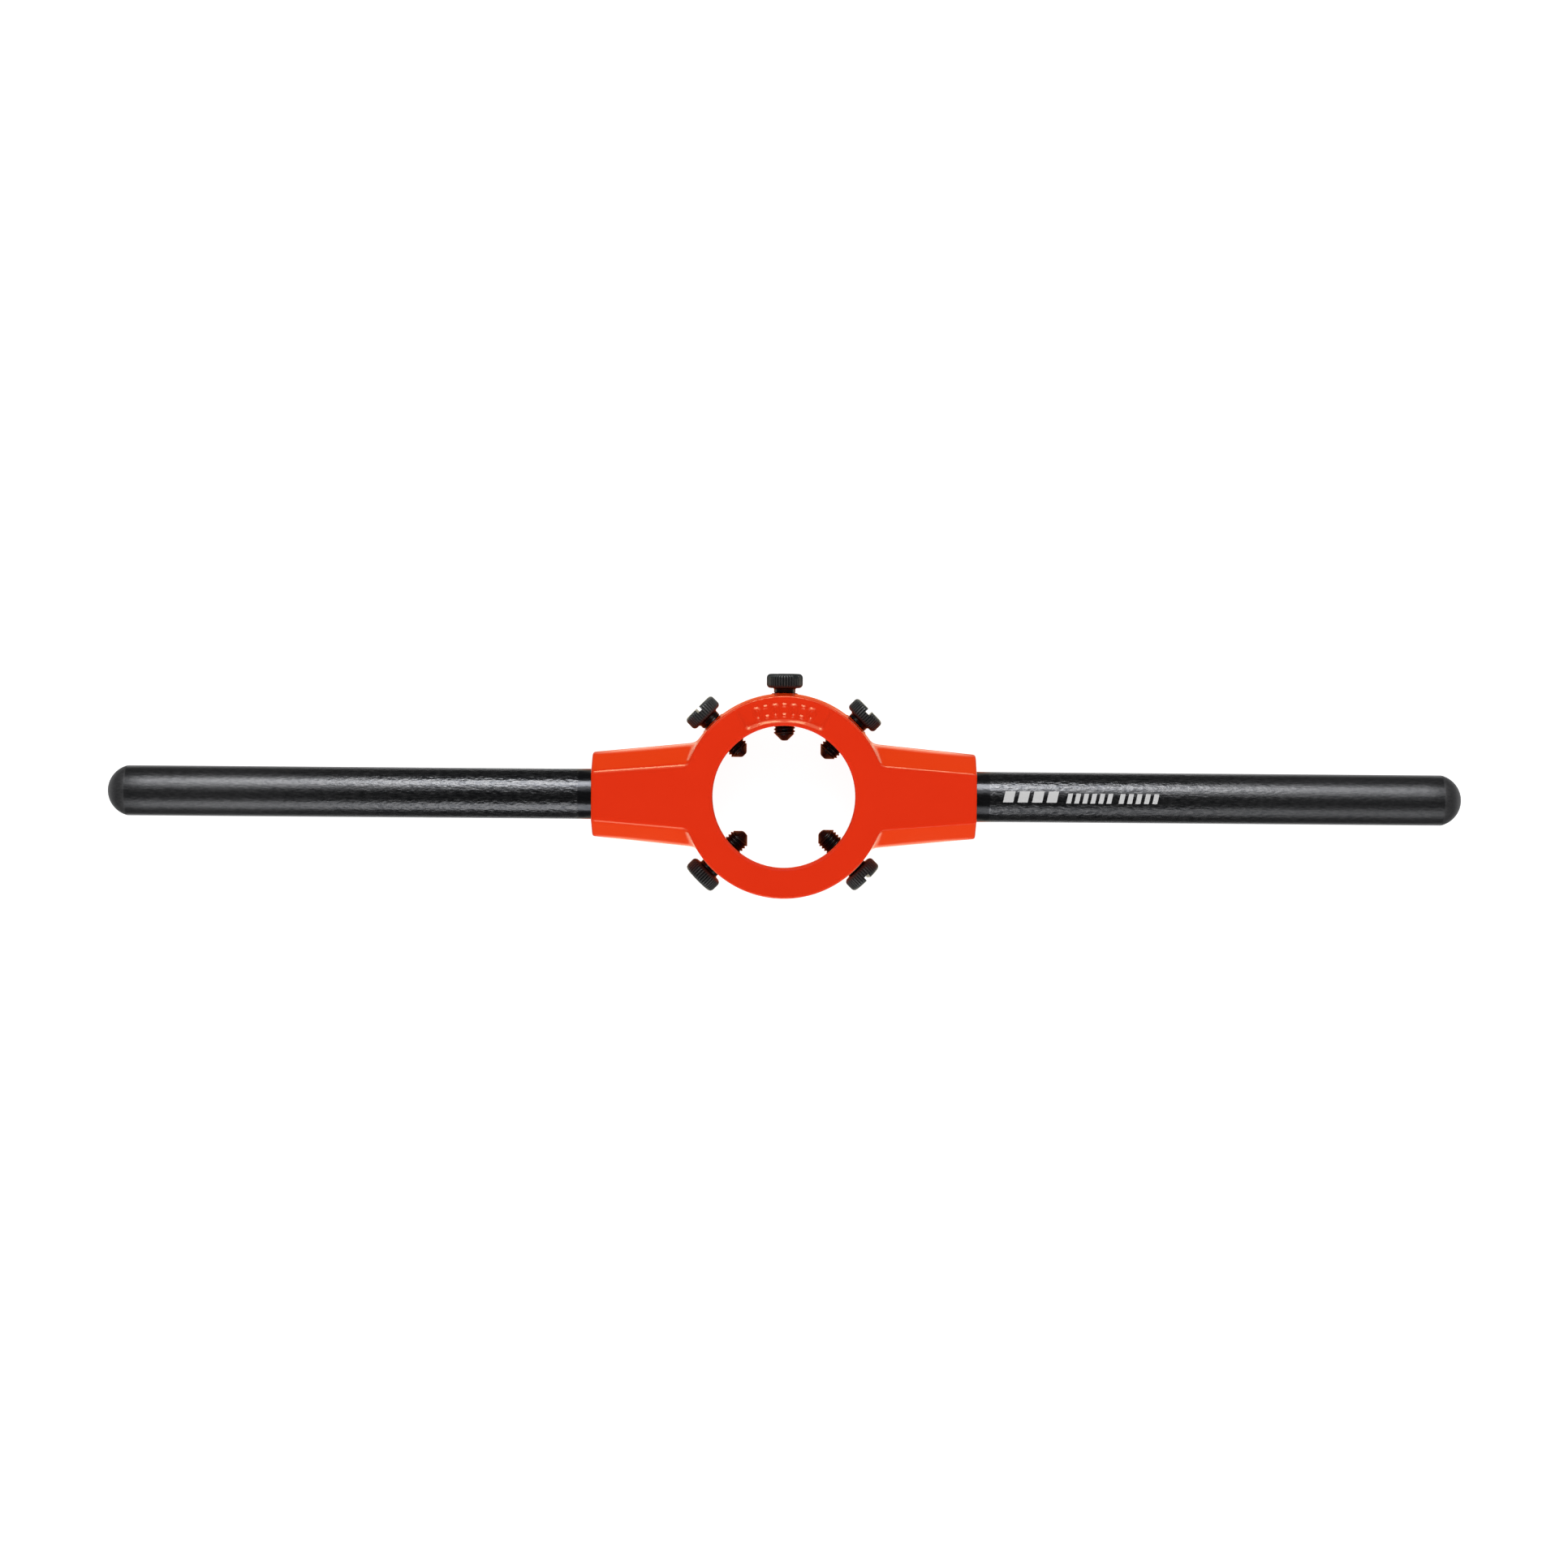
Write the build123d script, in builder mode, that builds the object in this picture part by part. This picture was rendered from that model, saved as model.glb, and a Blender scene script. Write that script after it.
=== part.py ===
from build123d import *
from math import asin, cos, degrees, pi, radians, sin, tan
import os

# Die stock for round threading dies, lying on its open side.
# A die-cast ring with two ears holds the die against a thin ledge. Two steel rods are screwed into
# the ears, and five knurled screws go through the ring's wall and clamp the die.
# Origin: on the ring's axis, in the plane of the open rim. +Z: along the axis, out through the ledge.
# +X: along the handles. +Y: towards the screw that enters the die's slot. All sizes in millimetres.

# Place for the die
die_diameter = 38.0
die_thickness = 14.0
die_slack = 0.1
seat_lead_in = 0.6
ledge_thickness = 4.0
ledge_hole_diameter = 33.0
ledge_hole_edge = 0.3

# Ring of the casting
ring_wall = 4.7
cast_draft = 2.0
face_edge = 0.5

# Ears of the casting: half widths at the parting plane and of the flat panels, each at the ear's end,
# and the angle at which each side spreads towards the ring
ear_length = 20.75
ear_overlap = 8.8
ear_end_half_width = 9.8
ear_taper = 5.6
panel_end_half_width = 5.7
panel_taper = 4.46
ear_band_height = 6.0

# Sunk label panel on the ledge side
label_inner_margin = 1.0
label_outer_margin = 1.0
label_half_angle = 26.0
label_depth = 0.4
label_bevel = 0.3
label_corner = 1.2

# Clamping screws, their tapped holes and the pads that the holes start on
screw_hole_diameter = 5.1
screw_clearance = 0.05
pad_border = 0.4
pad_rise = 0.05
shank_length = 12.25
point_flat_diameter = 1.4
head_diameter = 8.4
head_height = 3.3
head_edge = 0.5
knurl_count = 40
knurl_depth = 0.3
slot_width = 1.3
slot_depth = 1.0

# Handles, their spigots and the tapped holes in the ears
overall_length = 315.0
handle_diameter = 11.7
dome_radius = 6.0
spigot_hole_diameter = 8.0
spigot_hole_depth = 18.0
spigot_clearance = 0.05
spigot_end_gap = 2.0
spigot_bevel = 0.5

# Each screw: its name, its direction round the ring, the gap left between its head and the pad, and
# how far its slot is turned from the direction of the ring's axis
SCREWS = [
    ("spreading_screw", 90.0, 1.15, 38.0),
    ("left_closing_screw", 135.0, 1.55, -2.0),
    ("right_closing_screw", 45.0, 1.1, 0.0),
    ("left_holding_screw", 225.0, 1.15, 90.0),
    ("right_holding_screw", 315.0, 0.6, -8.0),
]

# Slack allowed when an edge is found by its place
place_slack = 0.01

# Sizes that follow from those above
draft_slope = tan(radians(cast_draft))
ear_slope = tan(radians(ear_taper))
panel_slope = tan(radians(panel_taper))
seat_radius = (die_diameter + die_slack) / 2
ledge_hole_radius = ledge_hole_diameter / 2
body_height = die_thickness + ledge_thickness
parting_height = body_height / 2
ring_radius = seat_radius + ring_wall
rim_radius = ring_radius - parting_height * draft_slope
ear_reach = ring_radius + ear_length
ear_root = ring_radius - ear_overlap
half_band = ear_band_height / 2
screw_height = die_thickness / 2
screw_hole_radius = screw_hole_diameter / 2
pad_radius = screw_hole_radius + pad_border
pad_face = ring_radius + pad_rise
shank_radius = screw_hole_radius - screw_clearance
head_radius = head_diameter / 2
handle_radius = handle_diameter / 2
spigot_hole_radius = spigot_hole_diameter / 2
spigot_radius = spigot_hole_radius - spigot_clearance
handle_axis = Axis((0, 0, parting_height), (1, 0, 0))

os.makedirs("parts", exist_ok=True)


def outward(angle):
    """Unit vector from the ring's axis towards a screw."""
    return Vector(cos(radians(angle)), sin(radians(angle)), 0)


def across_screw(angle, distance):
    """Plane square to a screw's axis, at a distance from the ring's axis, facing outward."""
    direction = outward(angle)
    centre = direction * distance + Vector(0, 0, screw_height)
    return Plane(origin=centre, x_dir=(0, 0, 1), z_dir=direction)


def along_screw(angle):
    """Plane through a screw's axis: local x runs outward from the ring's axis, local y upward."""
    direction = outward(angle)
    return Plane(origin=(0, 0, screw_height), x_dir=direction, z_dir=direction.cross(Vector(0, 0, 1)))


def screw_axis(angle):
    """A screw's axis, from the ring's axis outward."""
    return Axis((0, 0, screw_height), outward(angle))


def ear_outline(x, inset):
    """Outline of an ear across its length, at x from the ring's axis, drawn in all round by an inset."""
    widest = ear_end_half_width + ear_slope * (ear_reach - x) - inset
    panel = panel_end_half_width + panel_slope * (ear_reach - x) - inset
    band = widest - half_band * draft_slope
    top = parting_height - inset
    down_slope = Vector(band - panel, half_band - top).normalized() * face_edge
    upper = [(panel - face_edge, top), (panel + down_slope.X, top + down_slope.Y), (band, half_band)]
    lower = [(y, -z) for y, z in reversed(upper)]
    right_half = [*upper, (widest, 0), *lower]
    left_half = [(-y, z) for y, z in reversed(right_half)]
    return [(y, parting_height + z) for y, z in right_half + left_half]


# The casting: ring, ledge and ears in one piece
with BuildPart() as body:
    # A drafted disc with bevelled rims, widest at the parting plane
    with BuildSketch(Plane.XZ):
        with BuildLine():
            Polyline(
                (0, 0),
                (rim_radius - face_edge, 0),
                (rim_radius + face_edge * draft_slope, face_edge),
                (ring_radius, parting_height),
                (rim_radius + face_edge * draft_slope, body_height - face_edge),
                (rim_radius - face_edge, body_height),
                (0, body_height),
                close=True,
            )
        make_face()
    revolve(axis=Axis.Z)

    # Each ear runs straight from inside the ring's wall to its bevelled end: a flat panel on both
    # sides, sloping sides, and a drafted band at the parting plane
    for side in (-1, 1):
        for x, inset in ((ear_root, 0), (ear_reach - face_edge, 0), (ear_reach, face_edge)):
            with BuildSketch(Plane.YZ.offset(side * x)):
                with BuildLine():
                    Polyline(*ear_outline(x, inset), close=True)
                make_face()
        loft(ruled=True)

    # Flat pads on the wall, one under each screw's head
    for name, angle, head_gap, slot_turn in SCREWS:
        with BuildSketch(across_screw(angle, pad_face)):
            Circle(pad_radius)
        extrude(amount=-ring_wall)

    # The die's seat, open at the bottom, and the smaller hole through the ledge
    with BuildSketch(Plane.XY):
        Circle(seat_radius)
    extrude(amount=die_thickness, mode=Mode.SUBTRACT)
    with BuildSketch(Plane.XY):
        Circle(ledge_hole_radius)
    extrude(amount=body_height, mode=Mode.SUBTRACT)
    round_edges = body.edges().filter_by(GeomType.CIRCLE)
    seat_mouth = round_edges.filter_by_position(Axis.Z, -place_slack, place_slack)
    chamfer(seat_mouth.sort_by(SortBy.RADIUS)[0], length=seat_lead_in)
    hole_rim = round_edges.filter_by_position(Axis.Z, body_height - place_slack, body_height + place_slack)
    chamfer(hole_rim.sort_by(SortBy.RADIUS)[0], length=ledge_hole_edge)

    # Tapped holes for the screws, through the wall into the seat
    for name, angle, head_gap, slot_turn in SCREWS:
        with BuildSketch(across_screw(angle, pad_face)):
            Circle(screw_hole_radius)
        extrude(amount=ledge_hole_radius - pad_face, mode=Mode.SUBTRACT)

    # Blind tapped holes for the handles
    for side in (-1, 1):
        with BuildSketch(Plane.YZ.offset(side * ear_reach)):
            with Locations((0, parting_height)):
                Circle(spigot_hole_radius)
        extrude(amount=-side * spigot_hole_depth, mode=Mode.SUBTRACT)

    # The label panel: a sunk stretch of the ledge's face, beside the spreading screw
    label_inner = ledge_hole_radius + label_inner_margin
    label_outer = rim_radius - label_outer_margin
    with BuildSketch(Plane.XY.offset(body_height)):
        with BuildLine():
            inner_arc = CenterArc((0, 0), label_inner, 90 - label_half_angle, 2 * label_half_angle)
            outer_arc = CenterArc((0, 0), label_outer, 90 - label_half_angle, 2 * label_half_angle)
            Line(inner_arc @ 0, outer_arc @ 0)
            Line(inner_arc @ 1, outer_arc @ 1)
        make_face()
        fillet(vertices(), radius=label_corner)
    extrude(amount=-label_depth, mode=Mode.SUBTRACT)
    ledge_face = body.faces().sort_by(Axis.Z)[-1]
    chamfer(ledge_face.inner_wires().sort_by(Axis.Y)[-1].edges(), length=label_bevel)
body.part.label = "ring_body"
export_step(body.part, "parts/ring_body.step")

# The handles: a spigot in the ear, a shoulder against its end face, a plain rod and a domed end
half_length = overall_length / 2
dome_centre = half_length - dome_radius
dome_sweep = degrees(asin(handle_radius / dome_radius))
spigot_end = ear_reach - spigot_hole_depth + spigot_end_gap
for name, side in (("left_handle", -1), ("right_handle", 1)):
    with BuildPart() as handle:
        with BuildSketch(Plane.XZ):
            with BuildLine():
                dome = CenterArc((dome_centre, parting_height), dome_radius, 0, dome_sweep)
                Polyline(
                    dome @ 1,
                    (ear_reach, parting_height + handle_radius),
                    (ear_reach, parting_height + spigot_radius),
                    (spigot_end + spigot_bevel, parting_height + spigot_radius),
                    (spigot_end, parting_height + spigot_radius - spigot_bevel),
                    (spigot_end, parting_height),
                    dome @ 0,
                )
            make_face()
            if side < 0:
                mirror(about=Plane.YZ, mode=Mode.REPLACE)
        revolve(axis=handle_axis)
    handle.part.label = name
    export_step(handle.part, f"parts/{name}.step")

# The clamping screws: a cone with a blunt point, a shank, and a knurled head with a slot
half_pitch = pi / knurl_count
for name, angle, head_gap, slot_turn in SCREWS:
    under_head = pad_face + head_gap
    head_face = under_head + head_height
    point = under_head - shank_length
    with BuildPart() as screw:
        with BuildSketch(along_screw(angle)):
            with BuildLine():
                Polyline(
                    (point, 0),
                    (point, point_flat_diameter / 2),
                    (point + shank_radius - point_flat_diameter / 2, shank_radius),
                    (under_head, shank_radius),
                    (under_head, 0),
                    close=True,
                )
            make_face()
        revolve(axis=screw_axis(angle))

        # The head: a straight knurl of sharp ridges, which run out in a bevel at both ends
        sections = [
            (under_head, head_edge),
            (under_head + head_edge, 0),
            (head_face - head_edge, 0),
            (head_face, head_edge),
        ]
        for distance, cut in sections:
            ridges = []
            for number in range(2 * knurl_count):
                reach = head_radius - cut - (knurl_depth if number % 2 else 0)
                ridges.append((reach * cos(number * half_pitch), reach * sin(number * half_pitch)))
            with BuildSketch(across_screw(angle, distance)):
                with BuildLine():
                    Polyline(*ridges, close=True)
                make_face()
        loft(ruled=True)

        # Slot for a screwdriver or a coin
        with BuildSketch(across_screw(angle, head_face).rotated((0, 0, -slot_turn))):
            Rectangle(head_diameter + slot_width, slot_width)
        extrude(amount=-slot_depth, mode=Mode.SUBTRACT)
    screw.part.label = name
    export_step(screw.part, f"parts/{name}.step")
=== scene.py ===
from math import asin, cos, pi, radians, sin, sqrt, tan

import bpy
from mathutils import Matrix, Vector


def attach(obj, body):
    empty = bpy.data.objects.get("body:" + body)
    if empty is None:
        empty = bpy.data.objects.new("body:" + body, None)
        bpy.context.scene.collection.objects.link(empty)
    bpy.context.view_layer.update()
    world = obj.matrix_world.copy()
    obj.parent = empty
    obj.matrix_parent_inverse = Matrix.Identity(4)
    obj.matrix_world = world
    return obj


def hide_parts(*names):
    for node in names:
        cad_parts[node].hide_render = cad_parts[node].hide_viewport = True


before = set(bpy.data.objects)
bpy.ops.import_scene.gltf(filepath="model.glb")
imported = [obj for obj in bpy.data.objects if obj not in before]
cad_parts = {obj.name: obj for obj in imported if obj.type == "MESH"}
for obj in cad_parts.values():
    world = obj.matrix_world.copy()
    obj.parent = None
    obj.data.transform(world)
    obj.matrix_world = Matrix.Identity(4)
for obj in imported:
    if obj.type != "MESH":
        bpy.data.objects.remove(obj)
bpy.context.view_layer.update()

# Camera: above the closed side of the stock, tipped a little towards the top screw, and turned a
# little, as the tool lies slightly askew in the picture. Sizes in millimetres and degrees.
MM = 0.001
VIEW_TARGET = Vector((0.0, 2.65, 9.0)) * MM
VIEW_DISTANCE = 820.0 * MM
VIEW_TIP = radians(-2.94)
VIEW_SIDE = radians(0.22)
VIEW_ROLL = radians(0.45)

lens = bpy.data.cameras.new("photo_lens")
lens.lens = 80.84
lens.clip_start = 0.05
camera = bpy.data.objects.new("photo_camera", lens)
bpy.context.scene.collection.objects.link(camera)
turn = Matrix.Rotation(VIEW_TIP, 4, "X") @ Matrix.Rotation(VIEW_SIDE, 4, "Y")
turn = turn @ Matrix.Rotation(VIEW_ROLL, 4, "Z")
camera.matrix_world = Matrix.Translation(VIEW_TARGET) @ turn @ Matrix.Translation((0, 0, VIEW_DISTANCE))
bpy.context.scene.camera = camera
bpy.context.scene.view_settings.view_transform = "Standard"

# Studio light: a long soft box on each side of the tool, with a brighter middle, which draw the two
# bright lines along the rods, and an even surround that is pale to look at but gives little light.
# Sizes in metres.
SOFT_BOXES = [
    # name, tilt from straight up towards the top screw, place along the rods, distance, length, width,
    # radiance, and whether the tool mirrors it
    ("upper_soft_box", 50.0, 0.00, 0.75, 0.90, 0.36, 2.4, True),
    ("upper_soft_box_middle", 50.0, -0.03, 0.74, 0.34, 0.30, 8.2, True),
    ("upper_spill", 29.0, 0.00, 0.76, 0.90, 0.26, 1.4, True),
    ("lower_soft_box", -62.0, 0.00, 0.80, 1.50, 0.52, 1.0, True),
    ("lower_soft_box_middle", -62.0, -0.07, 0.79, 0.24, 0.40, 2.8, True),
    ("lower_fill", -72.0, 0.00, 0.90, 1.60, 0.60, 2.9, False),
]
for name, tilt, shift, distance, length, width, radiance, mirrored in SOFT_BOXES:
    light = bpy.data.lights.new(name, "AREA")
    light.shape = "RECTANGLE"
    light.size, light.size_y = length, width
    light.energy = radiance * length * width * pi
    soft_box = bpy.data.objects.new(name, light)
    bpy.context.scene.collection.objects.link(soft_box)
    lean = Matrix.Rotation(radians(-tilt), 4, "X")
    soft_box.matrix_world = lean @ Matrix.Translation((shift, 0, distance))
    soft_box.visible_glossy = mirrored


class Wire:
    """A socket. Sums on it are written as they read, and each adds its Math node."""

    def __init__(self, socket):
        self.socket = socket

    def __add__(self, other):
        return calc("ADD", self, other)

    __radd__ = __add__

    def __sub__(self, other):
        return calc("SUBTRACT", self, other)

    def __rsub__(self, other):
        return calc("SUBTRACT", other, self)

    def __mul__(self, other):
        return calc("MULTIPLY", self, other)

    __rmul__ = __mul__

    def __truediv__(self, other):
        return calc("DIVIDE", self, other)

    def __rtruediv__(self, other):
        return calc("DIVIDE", other, self)

    def __neg__(self):
        return calc("MULTIPLY", self, -1.0)

    def __abs__(self):
        return calc("ABSOLUTE", self)

    def __lt__(self, other):
        return calc("LESS_THAN", self, other)

    def __gt__(self, other):
        return calc("GREATER_THAN", self, other)

    def least(self, other, blend=0.0):
        return calc("SMOOTH_MIN", self, other, blend) if blend else calc("MINIMUM", self, other)

    def most(self, other, blend=0.0):
        return calc("SMOOTH_MAX", self, other, blend) if blend else calc("MAXIMUM", self, other)

    def clamp(self):
        return self.most(0.0).least(1.0)


def plug(slot, value):
    """Links a socket to a Wire, or sets it to a plain value."""
    if isinstance(value, Wire):
        slot.id_data.links.new(value.socket, slot)
    else:
        slot.default_value = value


def calc(operation, *values):
    """A Math node, in the tree that the Wires among its values belong to."""
    tree = [value.socket.id_data for value in values if isinstance(value, Wire)][0]
    node = tree.nodes.new("ShaderNodeMath")
    node.operation = operation
    for slot, value in zip(node.inputs, values):
        plug(slot, value)
    return Wire(node.outputs[0])


def span(*sides):
    """The length of a line from its parts at right angles."""
    total = sides[0] * sides[0]
    for side in sides[1:]:
        total = total + side * side
    return calc("SQRT", total)


class Bench:
    """A node tree being built."""

    def __init__(self, tree):
        self.tree = tree

    def add(self, kind, settings=None, **sockets):
        """Adds a node: its settings first, then its sockets, named with _ for a space."""
        node = self.tree.nodes.new(kind)
        for name, value in (settings or {}).items():
            setattr(node, name, value)
        for name, value in sockets.items():
            slots = [slot for slot in node.inputs if slot.name == name.replace("_", " ") and slot.enabled]
            plug(slots[0], value)
        return node

    def out(self, kind, output=None, settings=None, **sockets):
        """The same, for one output of the node: the named one, or else the first."""
        node = self.add(kind, settings, **sockets)
        slots = [slot for slot in node.outputs if slot.enabled and output in (None, slot.name)]
        return Wire(slots[0])

    def blend(self, factor, first, second):
        """A mix of two colours, each a Wire or three shares of red, green and blue."""
        first, second = (side if isinstance(side, Wire) else (*side, 1.0) for side in (first, second))
        return self.out("ShaderNodeMix", "Result", {"data_type": "RGBA"}, Factor=factor, A=first, B=second)

    def split(self, vector):
        """The three parts of a vector."""
        return [Wire(slot) for slot in self.add("ShaderNodeSeparateXYZ", Vector=vector).outputs]

    def join(self, x=0.0, y=0.0, z=0.0):
        """A vector from its parts."""
        return self.out("ShaderNodeCombineXYZ", X=x, Y=y, Z=z)

    def rays(self):
        """Whether a ray of light comes straight from the camera, and whether it was mirrored."""
        path = self.add("ShaderNodeLightPath")
        return Wire(path.outputs["Is Camera Ray"]), Wire(path.outputs["Is Glossy Ray"])


# how bright the surround is to the camera, as a fill, and in what the tool mirrors
SURROUND_SEEN = 0.93
SURROUND_FILL = 0.32
SURROUND_MIRRORED = 0.11
surround = bpy.data.worlds.new("surround")
surround.use_nodes = True
bench = Bench(surround.node_tree)
seen, mirrored = bench.rays()
strength = bench.out("ShaderNodeMix", "Result", Factor=mirrored, A=SURROUND_FILL, B=SURROUND_MIRRORED)
strength = bench.out("ShaderNodeMix", "Result", Factor=seen, A=strength, B=SURROUND_SEEN)
background = surround.node_tree.nodes["Background"]
plug(background.inputs["Strength"], strength)
background.inputs["Color"].default_value = (1.0, 1.0, 1.0, 1.0)
bpy.context.scene.world = surround

# Floor: a plain pale sheet of card, which the open rim of the ring stands on. The light that it gives
# the tool is an even fill, but in what the tool mirrors the card glows beside the rods and by the
# ears' roots, glows in the casting's colour close beside it as a painted bounce of the casting's light, and
# is dark further out.
FLOOR_REACH = 2.0
CARD_DARKER = (0.22, 0.22, 0.22)
CARD_LIGHTER = (0.25, 0.25, 0.25)
CARD_SEEN = 0.94
CARD_FILL = (1.2, 1.2, 1.2)
CARD_FAR = (0.12, 0.12, 0.12)
CARD_BY_RODS = (1.0, 1.0, 1.0)
CARD_BY_EARS = (1.7, 1.6, 1.25)
CARD_CASTING_BOUNCE = (0.86, 0.17, 0.05)
GLOW_REACH = 12.0
GLOW_EDGE = 8.0
ROD_GLOW_START = 56.0
ROD_GLOW_HALF_WIDTH = 6.0
ROOT_GLOW_EAST = 29.0
ROOT_GLOW_NORTH = 21.0
ROOT_GLOW_RADIUS = 7.0
EAR_GLOW_END = 50.0
EAR_GLOW_EDGE = 6.0
CASTING_BOUNCE_REACH = 4.0
CASTING_BOUNCE_EDGE = 3.0

# the casting's outline, from above
SEAT_RADIUS = 19.05
RING_RADIUS = 23.75
EAR_REACH = RING_RADIUS + 20.75
EAR_END_HALF_WIDTH = 9.8
EAR_SLOPE = tan(radians(5.6))


def finish_of(name):
    """A new material: its bench, its shader node, and the place on the piece in metres."""
    material = bpy.data.materials.new(name)
    material.use_nodes = True
    bench = Bench(material.node_tree)
    shader = material.node_tree.nodes["Principled BSDF"]
    place = bench.out("ShaderNodeTexCoord", "Object")
    return material, bench, shader, place


def mix_finish(material, bench, factor, first, second):
    """Ends a material with a mix of two shader nodes."""
    mixed = bench.add("ShaderNodeMixShader")
    for slot, value in zip(mixed.inputs, (factor, Wire(first.outputs[0]), Wire(second.outputs[0]))):
        plug(slot, value)
    plug(material.node_tree.nodes["Material Output"].inputs["Surface"], Wire(mixed.outputs[0]))


card, bench, shader, place = finish_of("pale_card")
grain = bench.out("ShaderNodeTexNoise", Vector=place, Scale=60.0, Detail=2.0)
plug(shader.inputs["Base Color"], bench.blend(grain, CARD_DARKER, CARD_LIGHTER))
shader.inputs["Roughness"].default_value = 0.9
shader.inputs["Specular IOR Level"].default_value = 0.1
shader.inputs["Emission Color"].default_value = (1.0, 1.0, 1.0, 1.0)
shader.inputs["Emission Strength"].default_value = CARD_SEEN
east, north, _ = (part / MM for part in bench.split(place))
from_rod = (abs(north) - ROD_GLOW_HALF_WIDTH).most(ROD_GLOW_START - abs(east))
from_root = span(abs(east) - ROOT_GLOW_EAST, abs(north) - ROOT_GLOW_NORTH) - ROOT_GLOW_RADIUS
near = ((GLOW_REACH - from_rod.least(from_root)) / GLOW_EDGE).clamp()
by_ears = ((EAR_GLOW_END - abs(east)) / EAR_GLOW_EDGE).clamp()
glow = bench.blend(near, CARD_FAR, bench.blend(by_ears, CARD_BY_RODS, CARD_BY_EARS))
past_ear_end = abs(east) - EAR_REACH
from_ear = (abs(north) - EAR_END_HALF_WIDTH + past_ear_end * EAR_SLOPE).most(past_ear_end)
from_ring = abs(span(east, north) - (RING_RADIUS + SEAT_RADIUS) / 2) - (RING_RADIUS - SEAT_RADIUS) / 2
# painted bounce light: close beside the casting the card glows in its colour
casting_bounce = ((CASTING_BOUNCE_REACH - from_ear.least(from_ring)) / CASTING_BOUNCE_EDGE).clamp()
seen, mirrored = bench.rays()
given = bench.blend(mirrored, CARD_FILL, bench.blend(casting_bounce, glow, CARD_CASTING_BOUNCE))
mix_finish(card, bench, seen, bench.add("ShaderNodeEmission", Color=given), shader)
floor_mesh = bpy.data.meshes.new("floor")
floor_corners = [(x * FLOOR_REACH, y * FLOOR_REACH, 0) for x, y in ((-1, -1), (1, -1), (1, 1), (-1, 1))]
floor_mesh.from_pydata(floor_corners, [], [(0, 1, 2, 3)])
floor_mesh.materials.append(card)
floor = bpy.data.objects.new("floor", floor_mesh)
bpy.context.scene.collection.objects.link(floor)


# Casting: one die-cast piece, a ring with a ledge and two tapering ears, with rounded edges and
# hollow roots, then bored, drilled and tapped, and sprayed with orange-red enamel.
SEAT_DEPTH = 14.0
LEDGE_HOLE_RADIUS = 16.5
BODY_HEIGHT = 18.0
DRAFT = tan(radians(2.0))
SCREW_HEIGHT = SEAT_DEPTH / 2
PARTING = BODY_HEIGHT / 2
LABEL_DEPTH = 0.4


def new_tree(name, sizes):
    """A Geometry Nodes tree with a geometry input, named sizes and a material: its bench and inputs."""
    tree = bpy.data.node_groups.new(name, "GeometryNodeTree")
    sockets = [("Geometry", "Geometry", None)]
    sockets += [(size, "Int" if isinstance(value, int) else "Float", value) for size, value in sizes.items()]
    sockets += [("Material", "Material", None)]
    for label, kind, value in sockets:
        socket = tree.interface.new_socket(label, in_out="INPUT", socket_type="NodeSocket" + kind)
        if value is not None:
            socket.default_value = value
    tree.interface.new_socket("Geometry", in_out="OUTPUT", socket_type="NodeSocketGeometry")
    entry = tree.nodes.new("NodeGroupInput")
    return Bench(tree), {slot.name: Wire(slot) for slot in entry.outputs if slot.name}


def end_tree(bench, geometry, material):
    """Brings a tree's geometry from millimetres to metres, gives it its material and ends the tree."""
    geometry = bench.out("GeometryNodeTransform", Geometry=geometry, Scale=(MM, MM, MM))
    geometry = bench.out("GeometryNodeRealizeInstances", Geometry=geometry)
    geometry = bench.out("GeometryNodeSetMaterial", Geometry=geometry, Material=material)
    plug(bench.tree.nodes.new("NodeGroupOutput").inputs[0], geometry)
    return bench.tree


def make(name, tree, material, sizes=None, outline=None):
    """Runs a tree on a new object and keeps the result as a plain mesh."""
    piece = bpy.data.objects.new(name, outline or bpy.data.meshes.new(name))
    bpy.context.scene.collection.objects.link(piece)
    modifier = piece.modifiers.new("make", "NODES")
    modifier.node_group = tree
    given = dict(sizes or {}, Material=material)
    for socket in tree.interface.items_tree:
        if socket.in_out == "INPUT" and socket.name in given:
            modifier[socket.identifier] = given[socket.name]
    depsgraph = bpy.context.evaluated_depsgraph_get()
    result = bpy.data.meshes.new_from_object(piece.evaluated_get(depsgraph))
    piece.modifiers.remove(modifier)
    piece.data = result
    result.name = name
    return piece


def skin_of(bench, solid, low, high, spans, step, share=1.0):
    """The skin of a solid, given by the distance from its surface, which is negative inside: laid on a
    grid of points first, then moved onto the surface three times, by a share of what is left."""
    counts = {"Resolution_" + axis: reach / step for axis, reach in zip("XYZ", spans)}
    grid = bench.out("GeometryNodeVolumeCube", Density=-solid, Background=-1.0, Min=bench.join(*low),
                     Max=bench.join(*high), **counts)
    skin = bench.out("GeometryNodeVolumeToMesh", Volume=grid, Threshold=0.0, Adaptivity=0.0)
    for _ in range(3):
        normal = bench.out("GeometryNodeInputNormal", "Normal")
        nudge = bench.out("ShaderNodeVectorMath", settings={"operation": "SCALE"}, Vector=normal,
                          Scale=-solid * share)
        skin = bench.out("GeometryNodeSetPosition", Geometry=skin, Offset=nudge)
    return bench.out("GeometryNodeSetShadeSmooth", Geometry=skin, Shade_Smooth=True)


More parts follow.
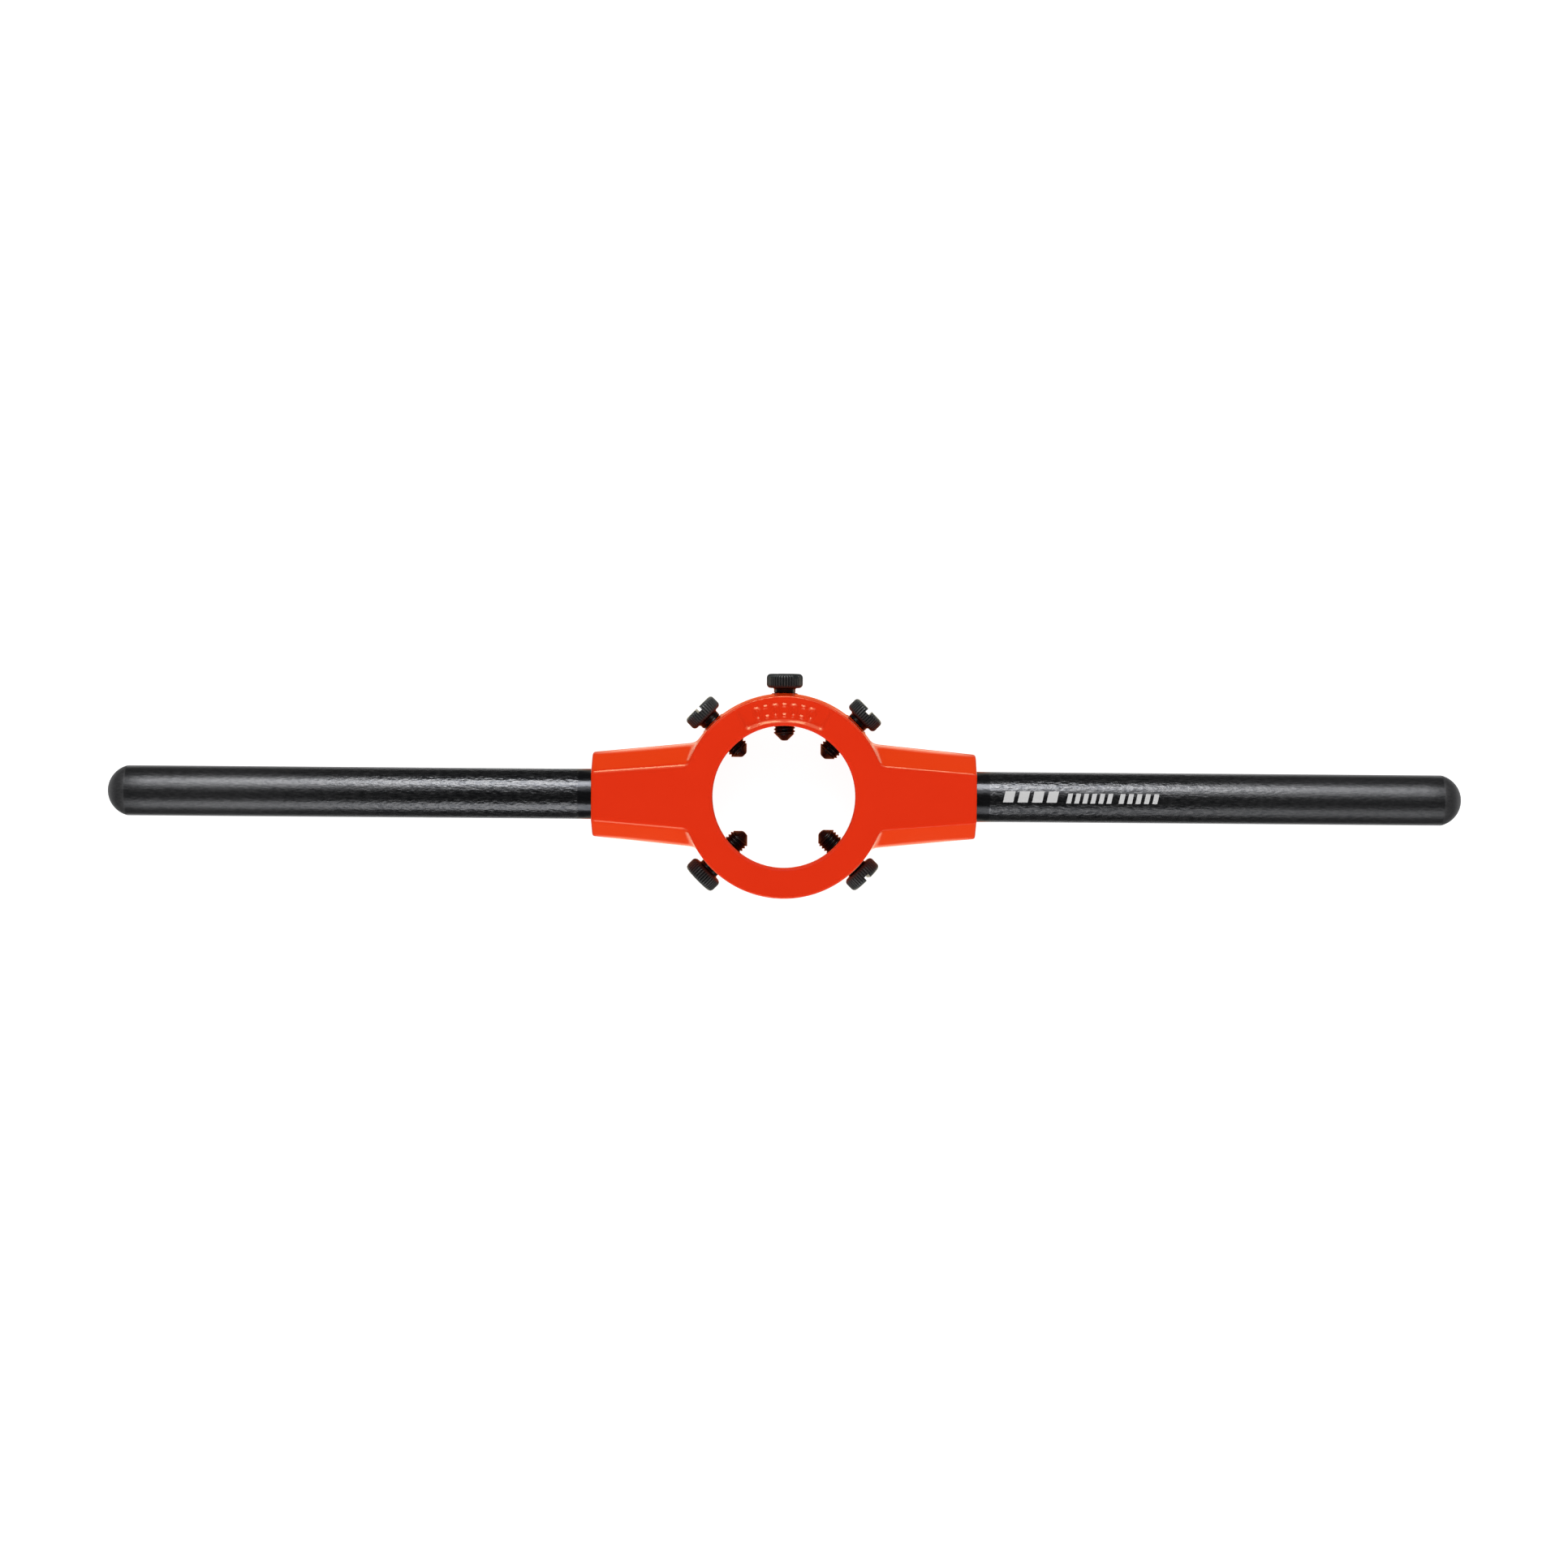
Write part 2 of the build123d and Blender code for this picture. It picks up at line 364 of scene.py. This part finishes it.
bench, size = new_tree("die_casting", {
    "Ring radius": RING_RADIUS,
    "Seat radius": SEAT_RADIUS,
    "Seat depth": SEAT_DEPTH,
    "Seat lead-in": 0.6,
    "Ledge hole radius": LEDGE_HOLE_RADIUS,
    "Body height": BODY_HEIGHT,
    "Ear reach": EAR_REACH,
    "Ear end half width": EAR_END_HALF_WIDTH,
    "Panel end half width": 5.7,
    "Edge rounding": 1.0,
    "Ear end rounding": 0.9,
    "Root hollow": 1.7,
    "Screw height": SCREW_HEIGHT,
    "Screw hole radius": 2.55,
    "Spigot hole radius": 4.0,
    "Spigot hole depth": 18.0,
    "Label depth": LABEL_DEPTH,
    "Grid step": 0.36,
})
x, y, z = bench.split(bench.out("GeometryNodeInputPosition"))
parting = size["Body height"] / 2
beside = abs(x)
across = abs(y)
level = abs(z - parting)
spread = span(x, y)

# the drafted wall of the ring, and the two ears, each with a band and a sloping side
HALF_BAND = 3.0
PANEL_SLOPE = tan(radians(4.46))
wall = spread - size["Ring radius"] + level * DRAFT
inward = size["Ear reach"] - beside
widest = size["Ear end half width"] + inward * EAR_SLOPE
band_width = widest - HALF_BAND * DRAFT
panel_width = size["Panel end half width"] + inward * PANEL_SLOPE
band = across - widest + level * DRAFT
rise = parting - HALF_BAND
fall = band_width - panel_width
facet = ((across - band_width) * rise + (level - HALF_BAND) * fall) / span(rise, fall)
ear = band.most(facet, size["Edge rounding"]).most(-inward, size["Ear end rounding"])
solid = wall.least(ear, size["Root hollow"])

# flat pads that the screws' heads stand over, on the two diagonals and at the top
PAD_BORDER = 0.4
PAD_RISE = 0.05
PAD_EDGE = 0.3
PAD_FOOT = 0.5
drop = z - size["Screw height"]
slant = (beside + across) * sqrt(0.5)
screw_places = ((slant, span((beside - across) * sqrt(0.5), drop)), (y, span(x, drop)))
pad_radius = size["Screw hole radius"] + PAD_BORDER
pad_face = size["Ring radius"] + PAD_RISE
for along, off in screw_places:
    pad = (off - pad_radius).most(along - pad_face, PAD_EDGE).most(LEDGE_HOLE_RADIUS - along)
    solid = solid.least(pad, PAD_FOOT)

# the flat faces, whose edges are rounded more on the left ear and less on the right one
RING_EDGE = 0.6
EAR_EDGE = 0.15
EAR_EDGE_LEAN = 0.40
EAR_EDGE_START = 18.0
EAR_EDGE_FULL = 22.0
LEAN_REACH = 12.0
on_ear = ((beside - EAR_EDGE_START) / (EAR_EDGE_FULL - EAR_EDGE_START)).clamp()
lean = (x / LEAN_REACH).most(-1.0).least(1.0)
edge_rounding = size["Edge rounding"] * (RING_EDGE + on_ear * (EAR_EDGE - EAR_EDGE_LEAN * lean))
solid = solid.most(level - parting, edge_rounding)

# the seat with its lead-in, the hole through the ledge, the screw holes and the spigot holes
LEAD_IN_EDGE = 0.3
SEAT_CORNER = 0.5
RIM_EDGE = 0.7
HOLE_MOUTH = 0.5
seat_wall = spread - size["Seat radius"]
seat = seat_wall.least((seat_wall - size["Seat lead-in"] + z) * sqrt(0.5), LEAD_IN_EDGE)
seat = seat.most(z - size["Seat depth"], SEAT_CORNER)
hole = spread - size["Ledge hole radius"]
solid = solid.most(-seat.least(hole), RIM_EDGE)
for along, off in screw_places:
    solid = solid.most(-(off - size["Screw hole radius"]).most(LEDGE_HOLE_RADIUS - along), HOLE_MOUTH)
spigot_hole = (span(y, z - parting) - size["Spigot hole radius"]).most(inward - size["Spigot hole depth"])
solid = solid.most(-spigot_hole, HOLE_MOUTH)

# the sunk label panel, a stretch of the ledge's face between two arcs. Each side is a slope, given by
# its run for each millimetre down: the inner one is gentlest in its middle. A share of the run past the
# outer side or the ends is about the distance from them.
LABEL_HALF_ANGLE = radians(28.0)
INNER_MARGIN = 1.5
OUTER_MARGIN = 1.6
GENTLEST = 2.7
STEEPEST = 1.2
STEEP_FROM = 4.8
OUTER_SLOPE = 2.5
OUTER_SHARE = 0.37
END_SHARE = 0.64
INNER_CORNER = 0.9
OUTER_CORNER = 0.5
FLOOR_CORNER = 0.2
LABEL_EDGE = 0.3
above_floor = z - size["Body height"] + size["Label depth"]
gentle = GENTLEST - (beside / STEEP_FROM).least(1.0) * (GENTLEST - STEEPEST)
inner_side = size["Ledge hole radius"] + INNER_MARGIN - spread - above_floor * gentle
outer_side = spread - size["Ring radius"] + parting * DRAFT + OUTER_MARGIN - above_floor * OUTER_SLOPE
end_side = beside * cos(LABEL_HALF_ANGLE) - y * sin(LABEL_HALF_ANGLE) - above_floor * STEEPEST
recess = (inner_side / gentle).most(end_side * END_SHARE, INNER_CORNER)
recess = recess.most(outer_side * OUTER_SHARE, OUTER_CORNER).most(-above_floor, FLOOR_CORNER)
solid = solid.most(-recess, LABEL_EDGE)

# the skin of all this, on a grid that reaches 2 mm past it
PAST = 2.0
skin = skin_of(
    bench, solid, (-size["Ear reach"] - PAST, -size["Ring radius"] - PAST, -PAST),
    (size["Ear reach"] + PAST, size["Ring radius"] + PAST, size["Body height"] + PAST),
    ((size["Ear reach"] + PAST) * 2.0, (size["Ring radius"] + PAST) * 2.0, size["Body height"] + 2 * PAST),
    size["Grid step"])
casting_tree = end_tree(bench, skin, size["Material"])

# the enamel, orange-red, with painted side light: a little yellower and lighter on slopes and walls than on
# the flat faces
FLAT_ENAMEL = ((0.560, 0.0199, 0.0034), (0.586, 0.0224, 0.0040))
LIT_SLOPE_ENAMEL = ((0.566, 0.0286, 0.0001), (0.590, 0.0312, 0.0005))
enamel, bench, shader, place = finish_of("orange_enamel")
tone = bench.out("ShaderNodeTexNoise", Vector=place, Scale=110.0, Detail=3.0, Roughness=0.6)
facing_up = abs(bench.split(bench.out("ShaderNodeNewGeometry", "Normal"))[2])
# painted light: slopes and walls take the lit, yellower colour
lit_slope_share = ((0.85 - facing_up) * 4.0).clamp()
colour = bench.blend(lit_slope_share, bench.blend(tone, *FLAT_ENAMEL), bench.blend(tone, *LIT_SLOPE_ENAMEL))
plug(shader.inputs["Base Color"], colour)
plug(shader.inputs["Roughness"], 0.10 + 0.05 * tone)
shader.inputs["Specular Tint"].default_value = (1.0, 0.85, 0.48, 1.0)
peel = bench.out("ShaderNodeTexNoise", Vector=place, Scale=700.0, Detail=1.5)
plug(shader.inputs["Normal"], bench.out("ShaderNodeBump", Height=peel, Strength=0.15, Distance=0.00002))
# it runs thin over the sharp rim of the ledge hole, and hardly shines there
THIN_REACH = 0.60
THIN_EDGE = 0.2
east, north, _ = (part / MM for part in bench.split(place))
by_rim = ((LEDGE_HOLE_RADIUS + THIN_REACH - span(east, north)) / THIN_EDGE).clamp()
dull = bench.add("ShaderNodeBsdfPrincipled", Base_Color=colour, Roughness=0.5)
dull.inputs["Specular IOR Level"].default_value = 0.1
mix_finish(enamel, bench, by_rim, shader, dull)

casting = make("casting", casting_tree, enamel)
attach(casting, "stock")
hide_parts("ring_body")

# Raised marks: a plain row of ovals and pairs of dashes along the label panel, cast with the body
# and under the same enamel.
bench, size = new_tree("raised_marks", {
    "Row radius": 20.1,
    "Mark height": 3.4,
    "Mark width": 2.5,
    "Spacing": 2.1,
    "Row end": 7.62,
    "Dash width": 1.5,
    "Stroke": 1.05,
    "Panel floor": BODY_HEIGHT - LABEL_DEPTH,
    "Relief": 0.24,
    "Grid step": 0.09,
})
x, y, z = bench.split(bench.out("GeometryNodeInputPosition"))
around = abs(calc("ARCTAN2", x, y)) * size["Row radius"]
up = span(x, y) - size["Row radius"]
half_mark = size["Mark height"] / 2
half_stroke = size["Stroke"] / 2
# the dashes, at the top and bottom of the row, and the ovals halfway between them
beside_dash = calc("PINGPONG", around, size["Spacing"])
past_end = (beside_dash - size["Dash width"] / 2 + half_stroke).most(0.0)
dash = span(past_end, abs(up) - half_mark + half_stroke)
squeeze = (size["Mark height"] - size["Stroke"]) / (size["Mark width"] - size["Stroke"])
from_centre = (size["Spacing"] - beside_dash) * squeeze
from_loop = span(from_centre, up)
loop = abs(from_loop - half_mark + half_stroke) / (1.0 + (squeeze - 1.0) * from_centre / from_loop.most(0.1))
END_SLOPE = 4.0
off_stroke = (dash.least(loop) / half_stroke).most(1.0 + (around - size["Row end"]) * END_SLOPE)
# each stroke stands up like a low roof, with its foot a little under the panel's floor
FOOT = 0.1
ROOF_SHARE = 0.9
over_floor = z - size["Panel floor"]
raised = ((over_floor - size["Relief"] * (1.0 - off_stroke)) * ROOF_SHARE).most(-over_floor - FOOT)
# the grid covers only the stretch of the panel that the row takes up
ROW_REACH = 7.7
ROW_INSIDE = 4.0
ROW_OUTSIDE = 2.5
GRID_UNDER = 0.3
GRID_OVER = 0.6
skin = skin_of(
    bench, raised, (-ROW_REACH, size["Row radius"] - ROW_INSIDE, size["Panel floor"] - GRID_UNDER),
    (ROW_REACH, size["Row radius"] + ROW_OUTSIDE, size["Panel floor"] + GRID_OVER),
    (ROW_REACH * 2, ROW_INSIDE + ROW_OUTSIDE, GRID_UNDER + GRID_OVER), size["Grid step"], share=0.8)
marks = make("raised_marks", end_tree(bench, skin, size["Material"]), enamel)
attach(marks, "stock")
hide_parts("ring_body")

# Handles: two steel rods, turned with a domed outer end and blackened. Each is screwed into an ear by
# a thinner spigot, with its shoulder against the ear's end.
HANDLE_RADIUS = 5.85
HALF_LENGTH = 157.5
DOME_RADIUS = 6.0
SPIGOT_RADIUS = 3.95
SPIGOT_END = EAR_REACH - 16.0
SPIGOT_EDGE = 0.5
SHOULDER_EDGE = 0.15
ROD_STEPS = 24
DOME_STEPS = 20


def sheet_for(bench, profile, columns):
    """A sheet to be rolled up, with a row for each point of a profile: the sheet, each row's reach and
    radius on the profile, and the shares of the way along the sheet and round the turn."""
    count = bench.out("GeometryNodeAttributeDomainSize", "Point Count", {"component": "MESH"},
                      Geometry=profile)
    sheet = bench.out("GeometryNodeMeshGrid", "Mesh", Size_X=1.0, Size_Y=1.0, Vertices_X=count,
                      Vertices_Y=columns + 1.0)
    position = bench.out("GeometryNodeInputPosition")
    along, round_turn, _ = (part + 0.5 for part in bench.split(position))
    row = calc("ROUND", along * (count - 1.0))
    point = bench.out("GeometryNodeSampleIndex", "Value", {"data_type": "FLOAT_VECTOR"}, Geometry=profile,
                      Value=position, Index=row)
    reach, radius, _ = bench.split(point)
    return sheet, reach, radius, along, round_turn


def roll_up(bench, sheet, position):
    """Puts a sheet's points in place, welds its seam and its two ends, and turns its faces outward."""
    rolled = bench.out("GeometryNodeSetPosition", Geometry=sheet, Position=position)
    rolled = bench.out("GeometryNodeMergeByDistance", Geometry=rolled, Distance=0.0005)
    return bench.out("GeometryNodeFlipFaces", Mesh=rolled)


def smooth_under(bench, geometry, limit):
    """Smooth shading, except on edges whose faces meet at more than a limit in degrees."""
    geometry = bench.out("GeometryNodeSetShadeSmooth", Geometry=geometry, Shade_Smooth=True)
    angle = bench.out("GeometryNodeInputMeshEdgeAngle", "Unsigned Angle")
    return bench.out("GeometryNodeSetShadeSmooth", settings={"domain": "EDGE"}, Geometry=geometry,
                     Selection=angle > radians(limit), Shade_Smooth=False)


bench, size = new_tree("turned_part", {"Segments": 96, "Axis height": PARTING, "Side": 1.0})
sheet, reach, radius, _, round_turn = sheet_for(bench, size["Geometry"], size["Segments"])
angle = round_turn * (2 * pi)
turned = roll_up(bench, sheet, bench.join(
    reach * size["Side"], radius * calc("COSINE", angle) * size["Side"],
    radius * calc("SINE", angle) + size["Axis height"]))
turned_tree = end_tree(bench, smooth_under(bench, turned, limit=28.0), size["Material"])

dome_sweep = asin(HANDLE_RADIUS / DOME_RADIUS)
dome_centre = HALF_LENGTH - DOME_RADIUS
dome_start = dome_centre + DOME_RADIUS * cos(dome_sweep)
rod_start = EAR_REACH + SHOULDER_EDGE
rod_profile = [
    (SPIGOT_END, 0),
    (SPIGOT_END, SPIGOT_RADIUS - SPIGOT_EDGE),
    (SPIGOT_END + SPIGOT_EDGE, SPIGOT_RADIUS),
    (EAR_REACH, SPIGOT_RADIUS),
    (EAR_REACH, HANDLE_RADIUS - SHOULDER_EDGE),
    (rod_start, HANDLE_RADIUS),
]
for step in range(1, ROD_STEPS + 1):
    rod_profile.append((rod_start + (dome_start - rod_start) * step / ROD_STEPS, HANDLE_RADIUS))
for step in range(1, DOME_STEPS + 1):
    lift = dome_sweep * (1 - step / DOME_STEPS)
    rod_profile.append((dome_centre + DOME_RADIUS * cos(lift), DOME_RADIUS * sin(lift)))

# the rods' black, with streaks of worn steel, fainter where the hands grip. The domes are duller and
# more worn, and the first few millimetres by the ears are smooth.
ROD_BLACK = (0.020, 0.022, 0.026)
ROD_WORN = (0.116, 0.116, 0.119)
GRIP_START = 80.0
GRIP_FULL = 125.0
COLLAR_END = EAR_REACH + 3.4
blackened, bench, shader, place = finish_of("blackened_steel")
east, north, height = (part / MM for part in bench.split(place))
far = abs(east)
dome = ((far - dome_start) * 20.0).clamp()
collar = ((COLLAR_END - far) * 3.0).clamp()
gripped = ((far - GRIP_START) / (GRIP_FULL - GRIP_START)).clamp()
streaked = bench.out("ShaderNodeMapping", Vector=place, Scale=(0.30, 1.0, 1.0))
mottle = bench.out("ShaderNodeTexNoise", Vector=streaked, Scale=2100.0, Detail=3.0, Roughness=0.7)
mottle = (0.5 + (mottle - 0.5) * (3.2 - 2.0 * gripped)).clamp() * (1.0 - 0.7 * collar)
stretched = bench.out("ShaderNodeMapping", Vector=place, Scale=(0.45, 1.0, 1.0))
cloud = bench.out("ShaderNodeTexNoise", Vector=stretched, Scale=45.0, Detail=2.0)
worn = (mottle * 0.65 + cloud * 0.35).clamp() * (1.0 + gripped * 0.25 + dome * 0.5)

# the print on the right rod: plain white blocks in three rows, leaning a little, larger ones first
PRINT_ROWS = [
    # first, last, pitch, share filled, half height, middle
    (50.7, 63.7, 3.35, 0.70, 1.30, 0.4),
    (65.3, 76.0, 1.86, 0.58, 1.15, 0.1),
    (77.4, 86.9, 1.95, 0.58, 1.15, 0.1),
]
PRINT_LEAN = 0.22
PRINT_WHITE = (0.42, 0.42, 0.42)
on_top = height > PARTING
ink = on_top * 0.0
for first, last, pitch, filled, half, middle in PRINT_ROWS:
    leaning = east - PRINT_LEAN * (north - middle + half)
    in_row = (leaning > first) * (leaning < last) * (abs(north - middle) < half) * on_top
    ink = ink + in_row * (calc("FRACT", (leaning - first) / pitch) < filled)
plug(shader.inputs["Base Color"], bench.blend(ink, bench.blend(worn, ROD_BLACK, ROD_WORN), PRINT_WHITE))
plug(shader.inputs["Roughness"], (0.17 + 0.13 * mottle + 0.11 * gripped + 0.22 * dome).most(ink * 0.5))
plug(shader.inputs["Metallic"], 1.0 - ink)
pits = bench.out("ShaderNodeTexNoise", Vector=stretched, Scale=2000.0, Detail=2.0)
pits = pits * (1.0 - 0.8 * collar) * (1.0 - 0.5 * gripped)
plug(shader.inputs["Normal"], bench.out("ShaderNodeBump", Height=pits, Strength=0.8, Distance=0.0001))

for side, side_name in ((-1, "left"), (1, "right")):
    outline = bpy.data.meshes.new(side_name + "_handle_profile")
    outline.from_pydata([(reach, radius, 0) for reach, radius in rod_profile], [], [])
    rod = make(side_name + "_rod", turned_tree, blackened, {"Side": float(side)}, outline)
    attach(rod, "stock")
    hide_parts(side_name + "_handle")

# Clamping screws: five alike, turned and threaded steel, with a straight knurl round the head and a
# slot across it, blackened. Each goes through a tapped hole in the ring's wall.
SCREWS = [
    # name, direction round the ring, gap between head and pad, turn of the slot
    ("spreading_screw", 90.0, 1.15, 38.0),
    ("left_closing_screw", 135.0, 1.55, -2.0),
    ("right_closing_screw", 45.0, 1.1, 0.0),
    ("left_holding_screw", 225.0, 1.15, 90.0),
    ("right_holding_screw", 315.0, 0.6, -8.0),
]
HEAD_RADIUS = 4.2
HEAD_HEIGHT = 3.3
HEAD_CORNER = 0.9
SHANK_LENGTH = 12.25
THREAD_PITCH = 0.8
ROWS_A_TURN = 10
SHANK_COLUMNS = 33
COLUMNS_A_RIDGE = 4.0
PAD_FACE = RING_RADIUS + PAD_RISE

bench, size = new_tree("knurled_screw", {
    "Head radius": HEAD_RADIUS,
    "Ridges": 40,
    "Ridge depth": 0.3,
    "Slot width": 1.3,
    "Slot depth": 1.0,
    "Head height": HEAD_HEIGHT,
    "Slot turn": 0.0,
    "Shank radius": 2.5,
    "Shank length": SHANK_LENGTH,
    "Thread pitch": THREAD_PITCH,
    "Thread depth": 0.36,
    "Neck length": 0.9,
    "Neck fillet": 0.4,
    "Point radius": 0.7,
    "Point rounding": 0.25,
    "Under head": 25.0,
    "Direction": 0.0,
    "Axis height": SCREW_HEIGHT,
})
# the head, turned from the profile that the tree is given, with its radius held under the ridges,
# which are flat and have sharp grooves between them
columns = size["Ridges"] * COLUMNS_A_RIDGE
sheet, profile_height, profile_radius, along, round_turn = sheet_for(bench, size["Geometry"], columns)
groove = 1.0 - abs(calc("FRACT", round_turn * size["Ridges"]) - 0.5) * 2.0
groove = (groove * 2.0 - 1.0).most(0.0)
radius = profile_radius.least(size["Head radius"] - size["Ridge depth"] * groove)
angle = round_turn * (2 * pi)
head = roll_up(bench, sheet, bench.join(
    radius * calc("COSINE", angle), radius * calc("SINE", angle), profile_height))

# the shank, whose rows of points follow the thread's helix, with turns to spare that are flattened
# into its two ends. The nudge keeps a whole turn from being read as just short of one.
ROW_NUDGE = 0.001
SPARE_TURNS = 3.0
SPARE_AT_POINT = 2.0
INTO_HEAD = 0.2
RUN_OUT_TURNS = 0.8
ROOT_SHARE = 0.2
FLANK_SHARE = 0.65
pitch = size["Thread pitch"]
fillet = size["Neck fillet"]
rounding = size["Point rounding"]
rows = calc("ROUND", (size["Shank length"] + pitch * SPARE_TURNS) / pitch * ROWS_A_TURN)
shank = bench.out("GeometryNodeMeshGrid", "Mesh", Size_X=1.0, Size_Y=1.0, Vertices_X=rows + 1.0,
                  Vertices_Y=SHANK_COLUMNS)
row = along * rows
turns = (row + ROW_NUDGE) / ROWS_A_TURN
height = (turns + round_turn) * pitch - size["Shank length"] - pitch * SPARE_AT_POINT
height = height.most(-size["Shank length"]).least(INTO_HEAD)
run_out = ((-size["Neck length"] - height) / (pitch * RUN_OUT_TURNS)).clamp()
wave = abs(calc("FRACT", turns) - 0.5) * 2.0
crest = ((wave - ROOT_SHARE) / FLANK_SHARE).clamp()
thread = size["Shank radius"] - size["Thread depth"] * run_out * (1.0 - crest)
# the blunt cone at the point, and the hollow under the head
behind_point = height + size["Shank length"]
blunt = rounding - behind_point.least(rounding)
cone = size["Point radius"] + behind_point - rounding + calc("SQRT", rounding * rounding - blunt * blunt)
swell = (height + fillet).most(0.0).least(fillet)
hollow = fillet - calc("SQRT", fillet * fillet - swell * swell)
radius = (thread.least(cone) + hollow) * (row > 0.5) * (row < rows - 0.5)
shank = roll_up(bench, shank, bench.join(
    radius * calc("COSINE", angle), radius * calc("SINE", angle), height))

# the slot across the head, then the whole screw is laid along its tapped hole
cutter = bench.out("GeometryNodeMeshCube", "Mesh", Size=bench.join(
    size["Head radius"] * 3.0, size["Slot width"], size["Slot depth"] * 2.0))
cutter = bench.out("GeometryNodeTransform", Geometry=cutter, Translation=bench.join(z=size["Head height"]),
                   Rotation=bench.join(z=size["Slot turn"]))
slotted = bench.add("GeometryNodeMeshBoolean", {"operation": "DIFFERENCE", "solver": "EXACT"})
plug(slotted.inputs["Mesh 1"], head)
plug(slotted.inputs["Mesh 2"], cutter)
joined = bench.add("GeometryNodeMeshBoolean", {"operation": "UNION", "solver": "EXACT"})
plug(joined.inputs["Mesh 2"], Wire(slotted.outputs["Mesh"]))
plug(joined.inputs["Mesh 2"], shank)
screw = smooth_under(bench, Wire(joined.outputs["Mesh"]), limit=40.0)
screw = bench.out("GeometryNodeTransform", Geometry=screw, Translation=bench.join(z=size["Under head"]))
screw = bench.out("GeometryNodeTransform", Geometry=screw, Rotation=(0.0, pi / 2, 0.0))
screw = bench.out("GeometryNodeTransform", Geometry=screw, Translation=bench.join(z=size["Axis height"]),
                  Rotation=bench.join(z=size["Direction"]))
screw_tree = end_tree(bench, screw, size["Material"])

# the head's profile: the half from the middle of its under side over a rounded edge, then the same
# the other way up
head_profile = [(0, 0), (0, HEAD_RADIUS / 2)]
for turn in range(0, 91, 15):
    edge = radians(turn)
    reach = HEAD_RADIUS - HEAD_CORNER + HEAD_CORNER * sin(edge)
    head_profile.append((HEAD_CORNER * (1 - cos(edge)), reach))
head_profile += [(HEAD_HEIGHT - drop, reach) for drop, reach in reversed(head_profile)]

# the screws' black: a darker and more matte oxide than the rods', lighter on the ridges' crests, partly as
# rubbed steel and partly as a painted highlight
OXIDE_BLACK = (0.003, 0.0034, 0.0034)
OXIDE_WORN_AND_LIT = (0.040, 0.0445, 0.0445)
oxide, bench, shader, place = finish_of("black_oxide")
speckle = bench.out("ShaderNodeTexNoise", Vector=place, Scale=1400.0, Detail=3.0, Roughness=0.7)
# sharp crests lighter: partly wear, partly painted highlight
crest_wear_and_highlight = ((bench.out("ShaderNodeNewGeometry", "Pointiness") - 0.47) * 9.0).clamp()
wear_and_highlight = (speckle * 0.4 + crest_wear_and_highlight * 0.6).clamp()
plug(shader.inputs["Base Color"], bench.blend(wear_and_highlight, OXIDE_BLACK, OXIDE_WORN_AND_LIT))
plug(shader.inputs["Roughness"], 0.27 + 0.20 * speckle)
shader.inputs["Specular IOR Level"].default_value = 0.38
# the shank, close round the screw's axis and short of the head, is oily, and darker as painted shade where
# it sits in its hole and under the head. The distance is from the diagonal screws' axes, or from the top
# screw's within its reach of the middle.
SHANK_OIL_AND_SHADE = (0.0016, 0.0014, 0.0014, 1.0)
SHADED_SHANK_RADIUS = 2.9
SHADED_SHANK_END = PAD_FACE + 1.7
TOP_SCREW_REACH = 12.0
OUT_OF_REACH = 100.0
# painted shade on the oily shank: a darker black
oil_and_shade = bench.add("ShaderNodeBsdfPrincipled", Base_Color=SHANK_OIL_AND_SHADE, Roughness=0.20)
oil_and_shade.inputs["Specular IOR Level"].default_value = 0.30
east, north, height = (abs(part) / MM for part in bench.split(place))
beside_slant = (east - north) * sqrt(0.5)
beside_top = east * east + (east > TOP_SCREW_REACH) * OUT_OF_REACH
over_axis = height - SCREW_HEIGHT
off_screw = calc("SQRT", (beside_slant * beside_slant).least(beside_top) + over_axis * over_axis)
shaded_shank = (off_screw < SHADED_SHANK_RADIUS) * (span(east, north) < SHADED_SHANK_END)
mix_finish(oxide, bench, shaded_shank, shader, oil_and_shade)

for name, direction, head_gap, slot_turn in SCREWS:
    outline = bpy.data.meshes.new(name + "_head_profile")
    outline.from_pydata([(height, radius, 0) for height, radius in head_profile], [], [])
    screw = make(name + "_turned", screw_tree, oxide, {
        "Under head": PAD_FACE + head_gap,
        "Slot turn": radians(slot_turn),
        "Direction": radians(direction),
    }, outline)
    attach(screw, name)
    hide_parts(name)
